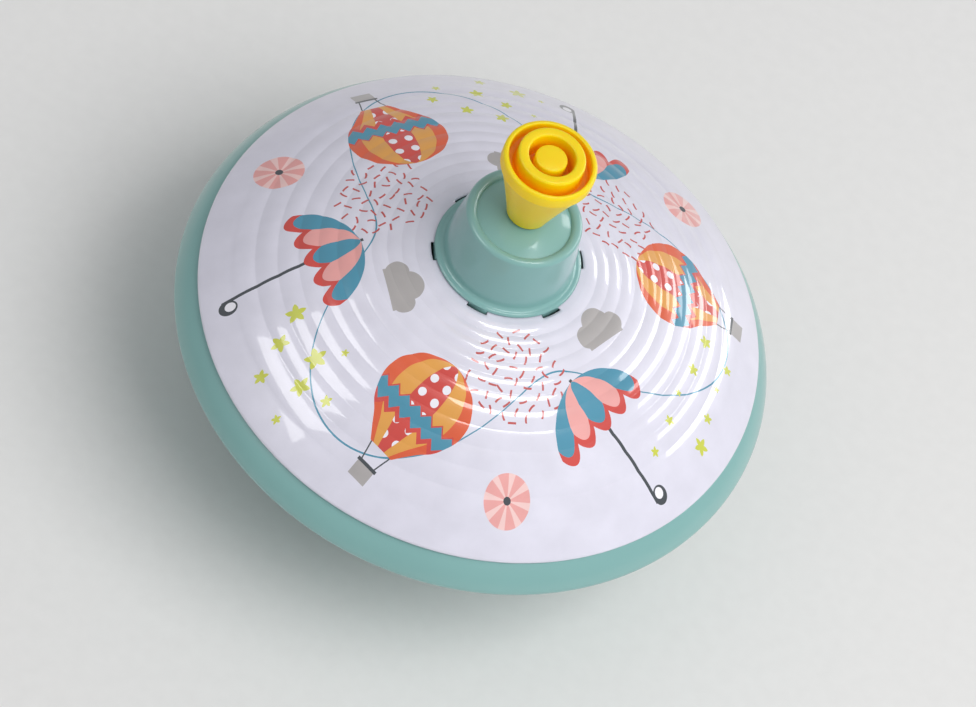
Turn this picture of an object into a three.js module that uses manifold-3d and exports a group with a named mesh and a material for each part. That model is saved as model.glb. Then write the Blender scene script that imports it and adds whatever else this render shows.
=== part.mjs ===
// A pump-action tin spinning top with its knob pressed home.
// A printed dome and a painted bowl are clinched together at the rim. A collar on the dome hides a slotted
// drive disc, and a twisted steel strip runs from the knob, through that disc, down a tube to the foot.
// Millimetres, +Z up the spin axis, origin at the point of the tip.
import * as THREE from "three";
import { mergeVertices } from "three/addons/utils/BufferGeometryUtils.js";
import Module from "manifold-3d";

const wasm = await Module();
wasm.setup();

// Walls, clearances and facets
const sheet = 0.4; // painted tinplate
const plate = 0.6; // bare pressed steel
const seatGap = 0.3; // between pieces that rest against each other
const runningGap = 0.3; // round pieces that slide or turn
const overrun = 1; // how far a cutter reaches past the wall that it cuts
const shellSides = 40;
const turnedSides = 32;

// Printed dome, part of a sphere from the rim up to the flat land under the collar
const rimHeight = 42; // dome's edge above the tip
const domeRadius = 59.4;
const domeRise = 22.28; // from the rim to the pole, where the sphere would close
const domeEdgeSteps = 3;
const landRadius = 16.6;
const ripplePitch = 2.4; // of the ripple next to the land, before it grows
const rippleGrowth = 0.088; // added to the pitch for each ripple further out
const rippleDepth = 0.25;
const rippleEndShare = 0.91; // of the dome's radius

// Dome's rolled edge, which clinches a flange on the bowl's neck
const hemRadius = 0.7;
const hemLip = 1.1; // flat part of the rolled edge, under the bowl's flange
const hemSteps = 4;

// Painted bowl
const bellyOverhang = 4; // widest ring outside the dome's edge
const bellyDrop = 7;
const shoulderPullInset = 1; // pull point of the shoulder, inside and above the widest ring
const shoulderPullRise = 3.5;
const bowlSteps = 8;
const shoulderSteps = 4;
const bowlPullRadiusShare = 0.735; // pull point of the bowl's curve, between its foot and its widest ring
const bowlPullHeightShare = 0.19;
const footSeatRadius = 13;
const footSeatHeight = 8; // underside of the flat ring that the foot bears on
const footStepRise = 1;
const footStepWidth = 1.2;

// Twisted strip and the stop washer at its lower end
const stripWidth = 4.8;
const stripThickness = 1.2;
const stripCorner = 0.25;
const twistLead = 26; // length of one whole turn
const twistStepDegrees = 20;
const rodGrip = 12; // length held inside the knob
const rodEndRoom = 2.7; // left under the strip's end when the knob is home
const rodNeckRadius = 1.1;
const rodHeadRadius = 2.2;
const rodHeadThickness = 0.8;
const stopRadius = 4.9;
const stopThickness = 0.8;

// Slotted drive disc and the steel seat that it presses on
const discRadius = 8.8;
const discThickness = 1;
const discLift = 0.8; // play that lets the disc leave its seat
const hubRadius = 4.6;
const hubRise = 0.8;
const seatMargin = 0.8; // seat's hat beyond the disc
const neckMargin = 1; // dome's hole beyond the hat

// Collar
const collarFlangeRadius = 15.3;
const collarFlangeWidth = 1.7;
const collarFillet = 0.9;
const collarRise = 13.7; // from the flange to the crest of the ridge
const shoulderRadius = 12.1;
const ridgeWidth = 2.3;
const ridgeHeight = 0.95;
const crownRise = 1.75; // from the recess up to the hole's edge
const crownSteps = 4;
const ridgeSteps = 5;
const filletSteps = 2;

// Tabs that hold the collar to the dome
const tabCount = 6;
const tabFirstDegrees = 26;
const tabWidth = 4.1;
const tabReach = 3; // bent length under the seat
const slotSideGap = 0.2;
const slotOpenWidth = 0.65; // part of the slot that shows outside the tab

// Tube and foot
const footPlateInset = 0.6;
const footPlateThickness = 0.8;
const tubeTopFlange = 3;
const tubeFootFlange = 2.6;
const stemReach = 6.2; // stem's length inside the tube
const crimpDepth = 0.4;
const crimpHalfWidth = 0.8;
const pegFlangeRadius = 9;
const pegFlangeThickness = 1.3;
const pegShoulderRadius = 7.4;
const pegEndRadius = 2.9;
const pegBulge = 0.5; // how far the peg's side swells outside a straight cone
const pinHeadRadius = 2.2;
const pinHeadHeight = 1.5;
const pinFlatRadius = 0.5;
const pinShankRadius = 1.1;
const pinShankLength = 6;
const pinSteps = 4;

// Knob
const knobRestGap = 0.4;
const knobFootRadius = 4.4;
const knobFootRound = 0.7;
const hornPullRadius = 6.6; // pull point of the horn's curve
const hornPullHeight = 8.2; // above the knob's foot
const hornEndHeight = 15.5;
const hornSteps = 8;
const knobLipRadius = 9.65;
const knobLipStep = 0.3; // of the lip out from the horn
const knobLipTop = 18.8;
const knobLipRound = 0.6;
const lipWall = 1.15;
const lipGrooveDepth = 3;
const ringOuterRadius = 6.9;
const ringInnerRadius = 4.8;
const ringTop = 20.15;
const ringRound = 0.35;
const plugRadius = 3.3;
const plugTop = 19.55;
const plugDome = 0.25;
const plugGrooveDepth = 5;

// Sizes that follow from the ones above
const domeCurve = (domeRadius ** 2 + domeRise ** 2) / (2 * domeRise);
const rimSlope = Math.asin(domeRadius / domeCurve);
const hemCentre = [domeRadius - hemRadius * Math.sin(rimSlope), rimHeight - hemRadius * Math.cos(rimSlope)];
const hemBase = hemCentre[1] - hemRadius;
const hemEnd = hemCentre[0] - hemLip;
const stripReach = Math.hypot(stripWidth, stripThickness) / 2;
const rodHoleRadius = stripReach + runningGap;
const tubeBore = stopRadius + runningGap;
const stemRadius = tubeBore - seatGap;
const hatRadius = discRadius + seatMargin;
const neckHoleRadius = hatRadius + neckMargin;
const collarRootRadius = collarFlangeRadius - collarFlangeWidth;
const tabInnerRadius = collarFlangeRadius - sheet;
const seatFlangeRadius = tabInnerRadius - seatGap;

// Heights, from the land on the dome up to the knob
const landHeight = domeHeightAt(landRadius);
const collarBase = landHeight + seatGap;
const collarFlangeTop = collarBase + sheet;
const ridgeCrest = collarFlangeTop + collarRise;
const recessHeight = ridgeCrest - ridgeHeight;
const crownHeight = recessHeight + crownRise;
const discTop = recessHeight - sheet - discLift;
const discBottom = discTop - discThickness;
const hatTop = discBottom - runningGap;
const hatUnderside = hatTop - plate;
const seatFlangeTop = landHeight - sheet - seatGap;
const tabBendTop = seatFlangeTop - plate - seatGap;
const knobFoot = crownHeight + knobRestGap;

// Heights, from the foot up to the stop washer
const footPlateBase = footSeatHeight + sheet + seatGap;
const tubeFoot = footPlateBase + footPlateThickness + seatGap;
const tubeTop = hatUnderside - seatGap;
const stemTop = tubeFoot + stemReach;
const rodEnd = stemTop + rodEndRoom;
const stopBase = rodEnd + rodHeadThickness + runningGap;
const stopTop = stopBase + stopThickness;
const pumpStroke = hatUnderside - seatGap - stopTop;

function radians(degrees) {
  return THREE.MathUtils.degToRad(degrees);
}

// Height of the dome's plain outer surface above the tip.
function domeHeightAt(radius) {
  return rimHeight + domeRise - domeCurve + Math.sqrt(domeCurve ** 2 - radius ** 2);
}

// Radius on the dome after a number of ripples, counted from the land. Each is wider than the one before.
function rippleRadiusAt(count) {
  return landRadius + count * (ripplePitch + rippleGrowth * count);
}

// Points [radius, height] on an ellipse, from one angle to another.
function arc(centreRadius, centreHeight, halfWidth, halfHeight, fromDegrees, toDegrees, steps) {
  return Array.from({ length: steps + 1 }, (_, i) => {
    const angle = radians(fromDegrees + ((toDegrees - fromDegrees) * i) / steps);
    return [centreRadius + halfWidth * Math.cos(angle), centreHeight + halfHeight * Math.sin(angle)];
  });
}

// A curve that leaves start towards pull and reaches end from pull.
function pulledCurve(start, pull, end, steps) {
  const vectors = [start, pull, end].map(([radius, height]) => new THREE.Vector2(radius, height));
  return new THREE.QuadraticBezierCurve(...vectors).getPoints(steps).map((point) => point.toArray());
}

// The same line moved to the left of its run by a distance, with mitred corners.
function movedLeft(line, distance) {
  const points = line.map(([radius, height]) => new THREE.Vector2(radius, height));
  return points.map((point, i) => {
    const before = points[i - 1] ?? point.clone().multiplyScalar(2).sub(points[i + 1]);
    const after = points[i + 1] ?? point.clone().multiplyScalar(2).sub(points[i - 1]);
    const incoming = point.clone().sub(before).normalize();
    const outgoing = after.clone().sub(point).normalize();
    const mitre = incoming.clone().add(outgoing);
    mitre.set(-mitre.y, mitre.x).multiplyScalar(distance / (1 + incoming.dot(outgoing)));
    return point.clone().add(mitre).toArray();
  });
}

// A pressed wall: a line in section and its copy, one wall thickness to its left.
function wall(line, thickness) {
  return [...line, ...movedLeft(line, thickness).reverse()];
}

// Turns a section about the axis. It either closes on itself or starts and ends on the axis.
function turned(section, sides) {
  const touchesAxis = section[0][0] === 0;
  const doubledArea = section.reduce((sum, [radius, height], i) => {
    const [nextRadius, nextHeight] = section[(i + 1) % section.length];
    return sum + radius * nextHeight - nextRadius * height;
  }, 0);
  const outward = doubledArea < 0 ? [...section].reverse() : [...section];
  if (!touchesAxis) outward.push(outward[0]);
  const geometry = new THREE.LatheGeometry(
    outward.map(([radius, height]) => new THREE.Vector2(radius, height)),
    sides,
  );
  return geometry.rotateX(Math.PI / 2);
}

// A block whose middle lies on the radius at an angle, from inner to outer and from base to top.
function radialBlock(inner, outer, width, base, top, degrees) {
  const block = new THREE.BoxGeometry(outer - inner, width, top - base);
  block.translate((inner + outer) / 2, 0, (base + top) / 2);
  return block.rotateZ(radians(degrees));
}

// A closed geometry as a solid that can be joined and cut.
function solid(geometry) {
  const bare = geometry.clone();
  bare.deleteAttribute("normal");
  bare.deleteAttribute("uv");
  const merged = mergeVertices(bare);
  return new wasm.Manifold(
    new wasm.Mesh({
      numProp: 3,
      vertProperties: new Float32Array(merged.getAttribute("position").array),
      triVerts: new Uint32Array(merged.getIndex().array),
    }),
  );
}

// A solid as a flat-shaded geometry.
function geometryOf(manifold) {
  const mesh = manifold.getMesh();
  const geometry = new THREE.BufferGeometry();
  geometry.setAttribute("position", new THREE.BufferAttribute(mesh.vertProperties, mesh.numProp));
  geometry.setIndex(new THREE.BufferAttribute(mesh.triVerts, 1));
  const flat = geometry.toNonIndexed();
  flat.computeVertexNormals();
  return flat;
}

function tabAngles() {
  return Array.from({ length: tabCount }, (_, i) => tabFirstDegrees + (360 / tabCount) * i);
}

// The strip's section, swept up the axis and twisted about it. Margin widens it into a cutter for its own slot.
function twistedStrip(base, top, margin) {
  const halfWidth = stripWidth / 2 + margin;
  const halfThickness = stripThickness / 2 + margin;
  const section = new THREE.Shape();
  section.moveTo(-halfWidth + stripCorner, -halfThickness);
  section.lineTo(halfWidth - stripCorner, -halfThickness);
  section.lineTo(halfWidth, -halfThickness + stripCorner);
  section.lineTo(halfWidth, halfThickness - stripCorner);
  section.lineTo(halfWidth - stripCorner, halfThickness);
  section.lineTo(-halfWidth + stripCorner, halfThickness);
  section.lineTo(-halfWidth, halfThickness - stripCorner);
  section.lineTo(-halfWidth, -halfThickness + stripCorner);
  const degreesInAll = (360 * (top - base)) / twistLead;
  const strip = new THREE.ExtrudeGeometry(section, {
    depth: top - base,
    steps: Math.ceil(degreesInAll / twistStepDegrees),
    bevelEnabled: false,
  });
  strip.translate(0, 0, base);
  const positions = strip.getAttribute("position");
  const point = new THREE.Vector3();
  const axis = new THREE.Vector3(0, 0, 1);
  for (let i = 0; i < positions.count; i++) {
    point.fromBufferAttribute(positions, i);
    point.applyAxisAngle(axis, (2 * Math.PI * point.z) / twistLead);
    positions.setXYZ(i, point.x, point.y, point.z);
  }
  return strip;
}

// Crests and hollows of the pressed ripples, from the land outwards.
function rippleLine() {
  const line = [];
  for (let i = 0; rippleRadiusAt(i + 1) < domeRadius * rippleEndShare; i++) {
    const crest = rippleRadiusAt(i + 0.5);
    const hollow = rippleRadiusAt(i + 1);
    line.push([crest, domeHeightAt(crest) + rippleDepth / 2]);
    line.push([hollow, domeHeightAt(hollow) - rippleDepth / 2]);
  }
  return line;
}

// Printed dome: flat land with the collar's slots, ripples, then a smooth border and the rolled edge.
function upperShell() {
  const ripples = rippleLine();
  const lastRipple = ripples[ripples.length - 1][0];
  const border = Array.from({ length: domeEdgeSteps }, (_, i) => {
    const radius = THREE.MathUtils.lerp(lastRipple, domeRadius, (i + 1) / domeEdgeSteps);
    return [radius, domeHeightAt(radius)];
  });
  const hemStart = 90 - THREE.MathUtils.radToDeg(rimSlope);
  const hem = arc(...hemCentre, hemRadius, hemRadius, hemStart, -90, hemSteps).slice(1);
  const outerLine = [
    [neckHoleRadius, landHeight],
    [landRadius, landHeight],
    ...ripples,
    ...border,
    ...hem,
    [hemEnd, hemBase],
  ];
  let shell = solid(turned(wall(outerLine, -sheet), shellSides));
  const slotInner = tabInnerRadius - seatGap;
  const slotOuter = collarFlangeRadius + slotOpenWidth;
  const slotWidth = tabWidth + 2 * slotSideGap;
  for (const degrees of tabAngles()) {
    const base = landHeight - sheet - overrun;
    const cutter = radialBlock(slotInner, slotOuter, slotWidth, base, landHeight + overrun, degrees);
    shell = shell.subtract(solid(cutter));
  }
  return geometryOf(shell);
}

// Painted bowl: foot ring, bowl, widest ring, shoulder, then a neck whose flange the dome's edge clinches.
function lowerShell() {
  const belly = [domeRadius + bellyOverhang, rimHeight - bellyDrop];
  const bowlStart = [footSeatRadius + footStepWidth, footSeatHeight + footStepRise];
  const bowlPull = [
    THREE.MathUtils.lerp(bowlStart[0], belly[0], bowlPullRadiusShare),
    THREE.MathUtils.lerp(bowlStart[1], belly[1], bowlPullHeightShare),
  ];
  const bowl = pulledCurve(bowlStart, bowlPull, belly, bowlSteps);
  const ledge = hemBase - seatGap;
  const shoulderPull = [belly[0] - shoulderPullInset, belly[1] + shoulderPullRise];
  const shoulder = pulledCurve(belly, shoulderPull, [domeRadius, ledge], shoulderSteps).slice(1);
  const neckRadius = hemEnd - seatGap;
  const flangeBase = hemBase + sheet + seatGap;
  const outerLine = [
    [stemRadius + seatGap, footSeatHeight],
    [footSeatRadius, footSeatHeight],
    ...bowl,
    ...shoulder,
    [neckRadius, ledge],
    [neckRadius, flangeBase],
    [hemEnd + hemLip / 2, flangeBase],
  ];
  return turned(wall(outerLine, sheet), shellSides);
}

// Collar: a drawn cap with a ridge, a recess and a crown, and tabs that bend under the steel seat.
function collar() {
  const crown = Array.from({ length: crownSteps }, (_, i) => {
    const share = i / crownSteps;
    const radius = THREE.MathUtils.lerp(rodHoleRadius, shoulderRadius - ridgeWidth, share);
    return [radius, recessHeight + crownRise * (1 - share ** 2)];
  });
  const ridgeCentre = shoulderRadius - ridgeWidth / 2;
  const ridge = arc(ridgeCentre, recessHeight, ridgeWidth / 2, ridgeHeight, 180, 0, ridgeSteps);
  const filletRadius = collarRootRadius + collarFillet;
  const filletHeight = collarFlangeTop + collarFillet;
  const fillet = arc(filletRadius, filletHeight, collarFillet, collarFillet, 180, 270, filletSteps);
  const outerLine = [...crown, ...ridge, ...fillet, [collarFlangeRadius, collarFlangeTop]];
  let cap = solid(turned(wall(outerLine, -sheet), shellSides));
  const flangeMiddle = collarBase + sheet / 2;
  const tabEnd = collarFlangeRadius - tabReach;
  for (const degrees of tabAngles()) {
    const bendBase = tabBendTop - sheet;
    const leg = radialBlock(tabInnerRadius, collarFlangeRadius, tabWidth, bendBase, flangeMiddle, degrees);
    const bend = radialBlock(tabEnd, collarFlangeRadius, tabWidth, bendBase, tabBendTop, degrees);
    cap = cap.add(solid(leg)).add(solid(bend));
  }
  return geometryOf(cap);
}

// Steel seat shaped like a hat: its brim lies under the dome, and the drive disc presses on its top.
function clutchSeat() {
  const outerLine = [
    [rodHoleRadius, hatTop],
    [hatRadius, hatTop],
    [hatRadius, seatFlangeTop],
    [seatFlangeRadius, seatFlangeTop],
  ];
  return turned(wall(outerLine, -plate), shellSides);
}

// Drive disc: the slot in its hub follows the strip's own twist.
function driveDisc() {
  const section = [
    [0, discBottom],
    [discRadius, discBottom],
    [discRadius, discTop],
    [hubRadius, discTop],
    [hubRadius - hubRise, discTop + hubRise],
    [0, discTop + hubRise],
  ];
  const slot = twistedStrip(discBottom - overrun, discTop + hubRise + overrun, runningGap);
  return geometryOf(solid(turned(section, turnedSides)).subtract(solid(slot)));
}

// Tube from the seat's hat down to the foot, crimped into the groove of the peg's stem.
function guideTube() {
  const crimpHeight = tubeFoot + stemReach / 2;
  const innerLine = [
    [tubeBore + tubeTopFlange, tubeTop],
    [tubeBore, tubeTop],
    [tubeBore, crimpHeight + 2 * crimpHalfWidth],
    [tubeBore - crimpDepth, crimpHeight + crimpHalfWidth],
    [tubeBore - crimpDepth, crimpHeight - crimpHalfWidth],
    [tubeBore, crimpHeight - 2 * crimpHalfWidth],
    [tubeBore, tubeFoot],
    [tubeBore + tubeFootFlange, tubeFoot],
  ];
  return turned(wall(innerLine, sheet), turnedSides);
}

// Steel plate that spreads the tube's load over the bottom of the bowl.
function footPlate() {
  const inner = stemRadius + seatGap;
  const outer = footSeatRadius - footPlateInset;
  const top = footPlateBase + footPlateThickness;
  const section = [
    [inner, footPlateBase],
    [outer, footPlateBase],
    [outer, top],
    [inner, top],
  ];
  return turned(section, turnedSides);
}

// Moulded peg: a flanged cone under the bowl, a grooved stem up into the tube, and a hole for the tip's pin.
function footPeg() {
  const holeRadius = pinShankRadius + seatGap;
  const holeTop = pinHeadHeight + pinShankLength + seatGap;
  const pegEnd = pinHeadHeight + seatGap;
  const flangeTop = footSeatHeight - seatGap;
  const flangeBase = flangeTop - pegFlangeThickness;
  const crimpHeight = tubeFoot + stemReach / 2;
  const grooveRadius = stemRadius - crimpDepth;
  const grooveHalf = crimpHalfWidth + seatGap;
  const shoulderHalf = 2 * crimpHalfWidth + seatGap;
  const coneMiddle = [(pegEndRadius + pegShoulderRadius) / 2 + pegBulge, (pegEnd + flangeBase) / 2 - pegBulge];
  const section = [
    [0, holeTop],
    [holeRadius, holeTop],
    [holeRadius, pegEnd],
    ...pulledCurve([pegEndRadius, pegEnd], coneMiddle, [pegShoulderRadius, flangeBase], pinSteps),
    [pegFlangeRadius, flangeBase],
    [pegFlangeRadius, flangeTop],
    [stemRadius, flangeTop],
    [stemRadius, crimpHeight - shoulderHalf],
    [grooveRadius, crimpHeight - grooveHalf],
    [grooveRadius, crimpHeight + grooveHalf],
    [stemRadius, crimpHeight + shoulderHalf],
    [stemRadius, stemTop],
    [0, stemTop],
  ];
  return turned(section, turnedSides);
}

// Steel pin with a domed head: the point that the top spins on.
function tipPin() {
  const domeWidth = pinHeadRadius - pinFlatRadius;
  const section = [
    [0, 0],
    ...arc(pinFlatRadius, pinHeadHeight, domeWidth, pinHeadHeight, 270, 360, pinSteps),
    [pinShankRadius, pinHeadHeight],
    [pinShankRadius, pinHeadHeight + pinShankLength],
    [0, pinHeadHeight + pinShankLength],
  ];
  return turned(section, turnedSides);
}

// Stop washer, loose on the neck of the strip.
function stopWasher() {
  const inner = rodNeckRadius + runningGap;
  const section = [
    [inner, stopBase],
    [stopRadius, stopBase],
    [stopRadius, stopTop],
    [inner, stopTop],
  ];
  return turned(section, turnedSides);
}

// Twisted strip, with a round neck and a peened head under it that keep the stop washer.
function twistedRod() {
  const shoulder = stopTop + runningGap;
  const neckTop = shoulder + stripThickness;
  const headTop = rodEnd + rodHeadThickness;
  const neck = [
    [0, rodEnd],
    [rodHeadRadius, rodEnd],
    [rodHeadRadius, headTop],
    [rodNeckRadius, headTop],
    [rodNeckRadius, neckTop],
    [0, neckTop],
  ];
  const strip = twistedStrip(shoulder, knobFoot + rodGrip, 0);
  return geometryOf(solid(strip).add(solid(turned(neck, turnedSides))));
}

// Moulded knob: a flared horn with a rolled lip, a raised ring and a plug in its end, bored for the strip.
function knob() {
  const boreTop = knobFoot + rodGrip + seatGap;
  const lipTop = knobFoot + knobLipTop;
  const lipInner = knobLipRadius - lipWall;
  const lipGroove = lipTop - lipGrooveDepth;
  const ringCrest = knobFoot + ringTop;
  const plugCrest = knobFoot + plugTop;
  const plugGroove = plugCrest - plugGrooveDepth;
  const footCentre = knobFootRadius - knobFootRound;
  const hornStart = [knobFootRadius, knobFoot + knobFootRound];
  const hornPull = [hornPullRadius, knobFoot + hornPullHeight];
  const hornEnd = [knobLipRadius - knobLipStep, knobFoot + hornEndHeight];
  const section = [
    [0, boreTop],
    [rodHoleRadius, boreTop],
    [rodHoleRadius, knobFoot],
    ...arc(footCentre, knobFoot + knobFootRound, knobFootRound, knobFootRound, 270, 360, 3),
    ...pulledCurve(hornStart, hornPull, hornEnd, hornSteps).slice(1),
    [knobLipRadius, hornEnd[1] + knobLipStep],
    ...arc(knobLipRadius - knobLipRound, lipTop - knobLipRound, knobLipRound, knobLipRound, 0, 90, 3),
    [lipInner, lipTop],
    [lipInner, lipGroove],
    [ringOuterRadius, lipGroove],
    [ringOuterRadius, ringCrest - ringRound],
    [ringOuterRadius - ringRound, ringCrest],
    [ringInnerRadius + ringRound, ringCrest],
    [ringInnerRadius, ringCrest - ringRound],
    [ringInnerRadius, plugGroove],
    [plugRadius, plugGroove],
    [plugRadius, plugCrest - plugDome],
    [0, plugCrest],
  ];
  return turned(section, turnedSides);
}

function finish(color, roughness, metalness) {
  return new THREE.MeshStandardMaterial({ color, roughness, metalness });
}

function piece(name, geometry, material) {
  const mesh = new THREE.Mesh(geometry, material);
  mesh.name = name;
  return mesh;
}

const printedTin = finish(0xf1eff5, 0.22, 0.1);
const mintPaint = finish(0x86b8ac, 0.28, 0.1);
const steel = finish(0xb9bcc0, 0.35, 1);
const tin = finish(0xc6c8ca, 0.3, 1);
const yellowPlastic = finish(0xffd21a, 0.35, 0);

// Everything that spins with the tin body
const body = new THREE.Group();
body.add(
  piece("upper_shell", upperShell(), printedTin),
  piece("lower_shell", lowerShell(), mintPaint),
  piece("collar", collar(), mintPaint),
  piece("clutch_seat", clutchSeat(), steel),
  piece("guide_tube", guideTube(), tin),
  piece("foot_plate", footPlate(), steel),
  piece("foot_peg", footPeg(), yellowPlastic),
  piece("tip_pin", tipPin(), steel),
);

// The disc turns freely on its seat when the knob is pulled up, and grips it when the knob is pushed down.
const drive = new THREE.Group();
drive.add(piece("drive_disc", driveDisc(), steel));

// The spindle screws up and down through the disc, one turn for each lead of the twist.
const spindle = new THREE.Group();
spindle.userData = { pumpStroke, twistLead };
spindle.add(
  piece("stop_washer", stopWasher(), steel),
  piece("twisted_rod", twistedRod(), steel),
  piece("knob", knob(), yellowPlastic),
);

const top = new THREE.Group();
top.add(body, drive, spindle);

export default top;
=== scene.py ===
# %% [markdown]
# # A pump-action tin spinning top
#
# A printed tin dome and a painted tin bowl are clinched together at the rim. A collar on the dome
# hides the drive, and a yellow knob above it pumps a twisted steel strip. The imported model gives
# every size and every moving body. This script dresses it with finely turned pieces, paint,
# print, plastic and steel.
#
# Sections are in millimetres, as pairs of radius and height above the tip, and become metres in
# the mesh.

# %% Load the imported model
import math

import bmesh
import bpy
from mathutils import Euler, Matrix, Vector


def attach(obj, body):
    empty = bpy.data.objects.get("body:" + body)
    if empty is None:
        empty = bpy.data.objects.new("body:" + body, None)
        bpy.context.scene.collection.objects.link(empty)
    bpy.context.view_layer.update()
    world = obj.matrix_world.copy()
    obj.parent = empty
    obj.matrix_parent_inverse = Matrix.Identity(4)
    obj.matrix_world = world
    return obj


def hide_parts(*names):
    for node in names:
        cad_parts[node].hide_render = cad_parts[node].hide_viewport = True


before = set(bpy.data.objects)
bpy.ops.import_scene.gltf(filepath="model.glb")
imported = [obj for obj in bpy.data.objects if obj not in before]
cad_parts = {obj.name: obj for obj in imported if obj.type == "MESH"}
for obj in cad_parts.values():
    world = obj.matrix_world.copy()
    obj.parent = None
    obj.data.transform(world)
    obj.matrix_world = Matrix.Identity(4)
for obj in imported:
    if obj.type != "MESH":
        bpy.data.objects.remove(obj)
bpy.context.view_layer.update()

MM = 0.001
print("nodes:", sorted(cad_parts))

# %% [markdown]
# ## How a pressed, moulded or turned piece is made
#
# Half of its section is drawn as a line of edges. A bevel on single points rounds the corners as
# a press or a mould would. A spin about the spin axis gives the surface, the doubled points at
# the seam and at the poles are merged, and the normals are turned outwards. Sheet metal gets its
# thickness last. A ready-made cylinder or sphere would be quicker, but it couldn't follow these
# curves.


# %% Turning a section about the spin axis
def round_points(mesh_data, points, length, segments):
    """Round the corners at some points, by a length in millimetres."""
    bmesh.ops.bevel(
        mesh_data,
        geom=points,
        offset=length * MM,
        affect="VERTICES",
        segments=segments,
        profile=0.5,
        material=-1,
    )


def half_section(outline, rounded=()):
    """Edges through the outline's points, with the numbered corners rounded by a length."""
    section = bmesh.new()
    points = [section.verts.new((radius * MM, 0, height * MM)) for radius, height in outline]
    for start, end in zip(points, points[1:]):
        section.edges.new((start, end))
    for index, length in rounded:
        round_points(section, [points[index]], length, 4)
    return section


def rotate(mesh_data, points, angle):
    """Turn points about the spin axis, by an angle in radians."""
    turned_by = Matrix.Rotation(angle, 3, "Z")
    bmesh.ops.rotate(mesh_data, verts=points, cent=(0, 0, 0), matrix=turned_by)


MERGE = 0.002  # millimetres between points that count as one


def turn(section, sides, first_angle=0.0):
    """The section spun once round the axis, closed, with its faces pointing out."""
    bmesh.ops.spin(
        section,
        geom=section.verts[:] + section.edges[:],
        axis=(0, 0, 1),
        cent=(0, 0, 0),
        angle=math.tau,
        steps=sides,
        use_merge=True,
    )
    bmesh.ops.remove_doubles(section, verts=section.verts, dist=MERGE * MM)
    rotate(section, section.verts, math.radians(first_angle))
    bmesh.ops.recalc_face_normals(section, faces=section.faces)
    return section


def as_piece(name, mesh_data, sharp_angle=35.0):
    """The finished mesh as an object at the origin, smooth except where it turns a real corner."""
    mesh = bpy.data.meshes.new(name)
    mesh_data.to_mesh(mesh)
    mesh_data.free()
    mesh.shade_smooth()
    mesh.set_sharp_from_angle(angle=math.radians(sharp_angle))
    piece = bpy.data.objects.new(name, mesh)
    bpy.context.scene.collection.objects.link(piece)
    print(name, len(mesh.vertices), "points,", len(mesh.polygons), "faces")
    return piece


# %% Sheet thickness, and curves for the sections
SHEET = 0.4  # tinplate


def give_thickness(piece, thickness=SHEET, offset=-1):
    """A sheet wall of even thickness, grown inwards from the drawn surface or to both sides."""
    wall = piece.modifiers.new("sheet", "SOLIDIFY")
    wall.thickness = thickness * MM
    wall.offset = offset
    wall.use_even_offset = True


def arc(centre_radius, centre_height, radius, first, last, steps):
    """Points on an arc of the section, from one angle in degrees to another."""
    angles = [math.radians(first + (last - first) * i / steps) for i in range(steps + 1)]
    return [
        (centre_radius + radius * math.cos(angle), centre_height + radius * math.sin(angle))
        for angle in angles
    ]


def pulled_curve(start, pull, end, steps):
    """Points on a curve that leaves start towards pull and reaches end from pull."""
    shares = [i / steps for i in range(steps + 1)]
    return [
        tuple(
            (1 - s) ** 2 * a + 2 * s * (1 - s) * p + s**2 * b
            for a, p, b in zip(start, pull, end)
        )
        for s in shares
    ]


# %% [markdown]
# ## The printed dome
#
# The dome is part of a sphere from the rim up to a flat land, which lies under the collar. Eleven
# ripples are pressed round it, each a little wider than the one inside it. They are rounded beads
# with narrow grooves between them, so that every one draws a single bright arc of light: smooth
# waves would draw two, one in the hollow and one on the crest. At the rim the sheet rolls over
# and under. Six slots in the land take the collar's tabs.

# %% Draw the dome's section
RIM = 42.0  # height of the dome's edge above the tip
DOME_RADIUS = 59.4
DOME_RISE = 22.28  # from the rim to the pole of the sphere that the dome is part of
DOME_CURVE = (DOME_RADIUS**2 + DOME_RISE**2) / (2 * DOME_RISE)
DOME_HOLE = 10.6  # radius of the hole for the drive
LAND_RADIUS = 16.6
SLOT_RADII = (14.6, 15.95)
RIPPLES = 11
RIPPLE_PITCH = 2.4  # of the ripple next to the collar, which adds one growth to it
RIPPLE_GROWTH = 0.088  # each ripple is twice this wider than the one inside it
RIPPLE_DEPTHS = (0.16, 0.23)  # of the ripple next to the collar and of the outermost one
GROOVE_SHARE = 0.55  # of a ripple's depth, below the plain dome
BEAD_POINTS = (0, 0.03, 0.12, 0.24, 0.37, 0.5, 0.63, 0.76, 0.88, 0.97)  # across one ripple
BORDER_STEPS = 8  # between the last ripple and the edge
HEM = 0.7  # radius of the dome's rolled edge
HEM_RETURN = 1.1  # flat end of the sheet, under the roll
RIM_SLOPE = math.asin(DOME_RADIUS / DOME_CURVE)
HEM_CENTRE = (DOME_RADIUS - HEM * math.sin(RIM_SLOPE), RIM - HEM * math.cos(RIM_SLOPE))


def dome_height(radius):
    """Height of the plain dome, without its ripples."""
    return RIM + DOME_RISE - DOME_CURVE + math.sqrt(DOME_CURVE**2 - radius**2)


def ripple_point(count):
    """Radius and height of the pressed dome after a number of ripples, counted from the land."""
    radius = LAND_RADIUS + count * (RIPPLE_PITCH + RIPPLE_GROWTH * count)
    ease = 2 * min(count, RIPPLES - count, 0.5)
    settled = ease * ease * (3 - 2 * ease)
    inner, outer = RIPPLE_DEPTHS
    depth = inner + (outer - inner) * count / RIPPLES
    wave = depth * (abs(math.sin(math.pi * count)) - GROOVE_SHARE * settled)
    return radius, dome_height(radius) + wave


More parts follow.
